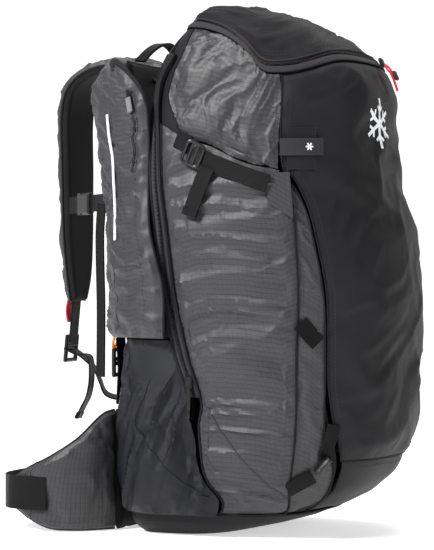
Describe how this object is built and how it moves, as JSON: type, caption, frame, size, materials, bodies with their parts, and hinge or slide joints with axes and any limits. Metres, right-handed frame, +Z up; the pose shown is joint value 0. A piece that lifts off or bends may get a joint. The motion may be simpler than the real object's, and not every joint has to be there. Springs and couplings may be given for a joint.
{
  "type": "avalanche airbag backpack",
  "caption": "Ski touring backpack with a fan-driven airbag behind a burst cover, opening front panel, padded harness and hip belt.",
  "frame": {"origin": "centre of the flat base", "axes": "+Z up, +Y towards the wearer, -Y out of the front panel, -X the wearer's left"},
  "size_m": [0.3211, 0.4673, 0.593],
  "materials": {
    "ripstop": "matt ripstop weave",
    "shell_fabric": "tight matt weave",
    "zip_tape": "coated zip tape",
    "padding": "foam behind mesh fabric",
    "frame_plastic": "sheet",
    "frame_metal": "brushed",
    "airbag_nylon": "coated nylon",
    "case_plastic": "moulded",
    "rotor_plastic": "moulded",
    "cable_jacket": "smooth",
    "webbing": "woven webbing",
    "buckle_plastic": "moulded, fine grain",
    "buckle_wire": "satin",
    "signal_red": "smooth",
    "button_white": "smooth"
  },
  "bodies": {
    "pack": {"base_panel": "shell_fabric", "lower_front_panel": "shell_fabric", "side_panel_left": "ripstop", "side_panel_right": "ripstop", "gusset_left": "ripstop", "gusset_right": "ripstop", "wing_pillow_left": "ripstop", "wing_pillow_right": "ripstop", "zip_band": "ripstop", "main_zip_left": "zip_tape", "main_zip_right": "zip_tape", "back_shell": "shell_fabric", "side_cover_left": "shell_fabric", "side_cover_right": "shell_fabric", "back_pad": "padding", "lumbar_pad": "padding", "frame_sheet": "frame_plastic", "frame_stays": "frame_metal", "module_wall": "shell_fabric", "tool_sleeve": "ripstop", "airbag_tray": "shell_fabric", "folded_airbag": "airbag_nylon", "air_duct": "case_plastic", "fan_housing": "case_plastic", "fan_motor": "frame_metal", "inlet_grille": "case_plastic", "battery_pack": "case_plastic", "control_unit": "case_plastic", "power_cable": "cable_jacket", "trigger_cable": "cable_jacket", "trigger_socket": "case_plastic", "yoke": "padding", "shoulder_strap_left": "ripstop", "shoulder_strap_right": "ripstop", "strap_webbing_left": "webbing", "strap_webbing_right": "webbing", "ladder_locks": "buckle_plastic", "compression_strap_left": "webbing", "compression_strap_right": "webbing", "lower_straps": "webbing"},
    "front_panel": {"front_panel": "shell_fabric", "gear_tag": "shell_fabric"},
    "airbag_cover": {"airbag_cover": "shell_fabric"},
    "haul_loop": {"haul_loop": "webbing"},
    "fan_rotor": {"fan_rotor": "rotor_plastic"},
    "hip_belt_left": {"hip_wing_left": "ripstop", "hip_webbing_left": "webbing", "hip_buckle_female": "buckle_plastic"},
    "hip_belt_right": {"hip_wing_right": "ripstop", "hip_webbing_right": "webbing", "hip_buckle_male": "buckle_plastic"},
    "sternum_strap": {"sternum_strap": "webbing"},
    "sternum_buckle": {"sternum_buckle": "buckle_plastic"},
    "trigger_handle": {"trigger_handle": "signal_red"},
    "power_button": {"power_button": "button_white"},
    "front_zip_slider": {"front_zip_slider": "signal_red"},
    "compression_buckle_left": {"compression_buckle_left": "buckle_wire"},
    "compression_buckle_right": {"compression_buckle_right": "buckle_wire"},
    "main_zip_slider_left": {"main_zip_slider_left": "buckle_plastic"},
    "main_zip_slider_right": {"main_zip_slider_right": "buckle_plastic"}
  },
  "joints": [
    {"name": "front_panel_hinge", "type": "hinge", "parent": "pack", "child": "front_panel", "pos_m": [0, -0.198, 0.085], "axis": [1, 0, 0], "range_deg": [0, 70]},
    {"name": "airbag_cover_hinge", "type": "hinge", "parent": "pack", "child": "airbag_cover", "pos_m": [0, -0.158, 0.541], "axis": [1, 0, 0], "range_deg": [0, 75]},
    {"name": "haul_loop_hinge", "type": "hinge", "parent": "pack", "child": "haul_loop", "pos_m": [0, 0.088, 0.536], "axis": [1, 0, 0], "range_deg": [-45, 45], "stiffness_Nm_per_rad": 0.02},
    {"name": "fan_spin", "type": "hinge", "parent": "pack", "child": "fan_rotor", "pos_m": [0, 0.0045, 0.34], "axis": [0, 1, 0], "continuous": true},
    {"name": "hip_belt_left_hinge", "type": "hinge", "parent": "pack", "child": "hip_belt_left", "pos_m": [-0.1, 0.105, 0.06], "axis": [0, 0, 1], "range_deg": [0, 35]},
    {"name": "hip_belt_right_hinge", "type": "hinge", "parent": "pack", "child": "hip_belt_right", "pos_m": [0.1, 0.105, 0.06], "axis": [0, 0, 1], "range_deg": [-35, 0]},
    {"name": "sternum_height_slide", "type": "slide", "parent": "pack", "child": "sternum_strap", "axis": [0, 0, 1], "range_m": [-0.02, 0.02]},
    {"name": "sternum_buckle_release", "type": "slide", "parent": "sternum_strap", "child": "sternum_buckle", "axis": [0.6889, 0.7248, 0], "range_m": [0, 0.02]},
    {"name": "trigger_pull", "type": "slide", "parent": "pack", "child": "trigger_handle", "axis": [0, 0, -1], "range_m": [0, 0.022], "stiffness_N_per_m": 250},
    {"name": "power_button_press", "type": "slide", "parent": "trigger_handle", "child": "power_button", "axis": [0, -1, 0], "range_m": [0, 0.0012], "stiffness_N_per_m": 300},
    {"name": "front_zip_slide", "type": "slide", "parent": "pack", "child": "front_zip_slider", "axis": [-1, 0, 0], "range_m": [0, 0.074]},
    {"name": "compression_buckle_left_tilt", "type": "hinge", "parent": "pack", "child": "compression_buckle_left", "pos_m": [-0.15, -0.017, 0.426], "axis": [0, 0, -1], "range_deg": [0, 35]},
    {"name": "compression_buckle_right_tilt", "type": "hinge", "parent": "pack", "child": "compression_buckle_right", "pos_m": [0.15, -0.017, 0.426], "axis": [0, 0, 1], "range_deg": [0, 35]},
    {"name": "main_zip_left_slide", "type": "slide", "parent": "pack", "child": "main_zip_slider_left", "axis": [-0.0364, 0.3271, 0.9443], "range_m": [0, 0.03]},
    {"name": "main_zip_right_slide", "type": "slide", "parent": "pack", "child": "main_zip_slider_right", "axis": [0.0364, 0.3271, 0.9443], "range_m": [0, 0.03]}
  ],
  "couplings": [
    {"joint": "hip_belt_right_hinge", "follows": "hip_belt_left_hinge", "ratio": -1}
  ]
}
